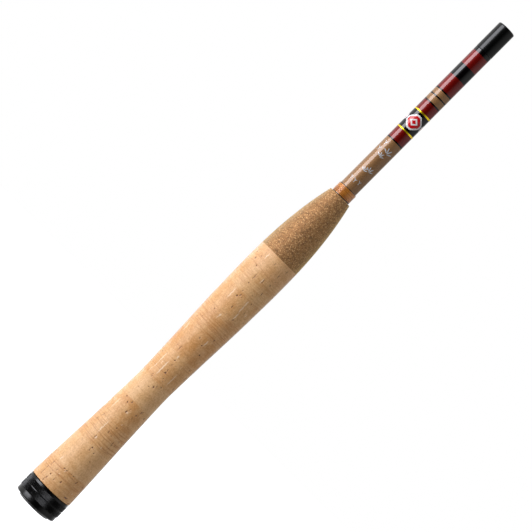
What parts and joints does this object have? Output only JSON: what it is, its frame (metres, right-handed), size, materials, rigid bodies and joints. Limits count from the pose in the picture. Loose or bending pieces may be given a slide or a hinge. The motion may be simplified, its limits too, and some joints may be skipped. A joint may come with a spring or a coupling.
{
  "type": "tenkara rod",
  "caption": "Collapsed telescopic fly rod with a double-swell cork grip, thread winding, lacquered and ringed handle tube, tip plug and knurled screw cap at the butt.",
  "frame": {"origin": "centre of the flat foot of the butt cap, with the collapsed rod standing on it", "axes": "+Z along the rod towards its tip plug; X and Y across it, alike because the rod is turned about Z"},
  "size_m": [0.0302, 0.0302, 0.404],
  "materials": {
    "banded_lacquer": "clear gloss lacquer over tan, maroon and black bands on a carbon tube",
    "black_metal": "black anodised, smooth and knurled",
    "natural_cork": "sanded natural cork, fine pits and growth lines",
    "composite_cork": "sanded composite cork, coarse light and dark granules",
    "winding_thread": "orange-brown thread under a gloss coat",
    "black_rubber": "smooth, matt",
    "cushion_foam": "closed-cell foam",
    "dark_lacquer": "dark brown gloss lacquer on a carbon tube",
    "red_sleeve": "satin",
    "black_plastic": "gloss black"
  },
  "bodies": {
    "handle": {"handle_blank": "banded_lacquer", "butt_sleeve": "black_metal", "cork_ring_1": "natural_cork", "cork_ring_2": "natural_cork", "cork_ring_3": "natural_cork", "cork_ring_4": "natural_cork", "cork_ring_5": "natural_cork", "cork_ring_6": "natural_cork", "cork_ring_7": "natural_cork", "cork_ring_8": "natural_cork", "cork_ring_9": "natural_cork", "cork_ring_10": "natural_cork", "cork_ring_11": "natural_cork", "composite_cork_front": "composite_cork", "thread_underwrap": "winding_thread", "thread_overwrap": "winding_thread"},
    "cap_ring": {"cap_o_ring": "black_rubber"},
    "cap": {"butt_cap": "black_metal", "cap_cushion": "cushion_foam", "butt_bumper": "black_rubber"},
    "section_2": {"section_2": "dark_lacquer"},
    "section_3": {"section_3": "dark_lacquer"},
    "section_4": {"section_4": "dark_lacquer"},
    "section_5": {"section_5": "dark_lacquer"},
    "section_6": {"section_6": "dark_lacquer"},
    "section_7": {"section_7": "dark_lacquer"},
    "section_8": {"section_8": "dark_lacquer"},
    "section_9": {"section_9": "dark_lacquer"},
    "tip": {"tip_section": "dark_lacquer", "lilian_ferrule": "red_sleeve"},
    "plug": {"tip_plug": "black_plastic", "plug_o_ring_1": "black_rubber", "plug_o_ring_2": "black_rubber"}
  },
  "joints": [
    {"name": "cap_travel", "type": "slide", "parent": "handle", "child": "cap_ring", "axis": [0, 0, -1], "range_m": [0, 0.009]},
    {"name": "cap_turn", "type": "hinge", "parent": "cap_ring", "child": "cap", "pos_m": [0, 0, 0.0132], "axis": [0, 0, -1], "range_deg": [0, 2160]},
    {"name": "section_2_slide", "type": "slide", "parent": "handle", "child": "section_2", "axis": [0, 0, 1], "range_m": [0, 0.3325]},
    {"name": "section_3_slide", "type": "slide", "parent": "section_2", "child": "section_3", "axis": [0, 0, 1], "range_m": [0, 0.3126]},
    {"name": "section_4_slide", "type": "slide", "parent": "section_3", "child": "section_4", "axis": [0, 0, 1], "range_m": [0, 0.3137]},
    {"name": "section_5_slide", "type": "slide", "parent": "section_4", "child": "section_5", "axis": [0, 0, 1], "range_m": [0, 0.3147]},
    {"name": "section_6_slide", "type": "slide", "parent": "section_5", "child": "section_6", "axis": [0, 0, 1], "range_m": [0, 0.3158]},
    {"name": "section_7_slide", "type": "slide", "parent": "section_6", "child": "section_7", "axis": [0, 0, 1], "range_m": [0, 0.3168]},
    {"name": "section_8_slide", "type": "slide", "parent": "section_7", "child": "section_8", "axis": [0, 0, 1], "range_m": [0, 0.3179]},
    {"name": "section_9_slide", "type": "slide", "parent": "section_8", "child": "section_9", "axis": [0, 0, 1], "range_m": [0, 0.319]},
    {"name": "tip_slide", "type": "slide", "parent": "section_9", "child": "tip", "axis": [0, 0, 1], "range_m": [0, 0.32]},
    {"name": "plug_pull", "type": "slide", "parent": "tip", "child": "plug", "axis": [0, 0, 1], "range_m": [0, 0.04]}
  ],
  "couplings": [
    {"joint": "cap_travel", "follows": "cap_turn", "m_per_rad": 0.0002387}
  ]
}
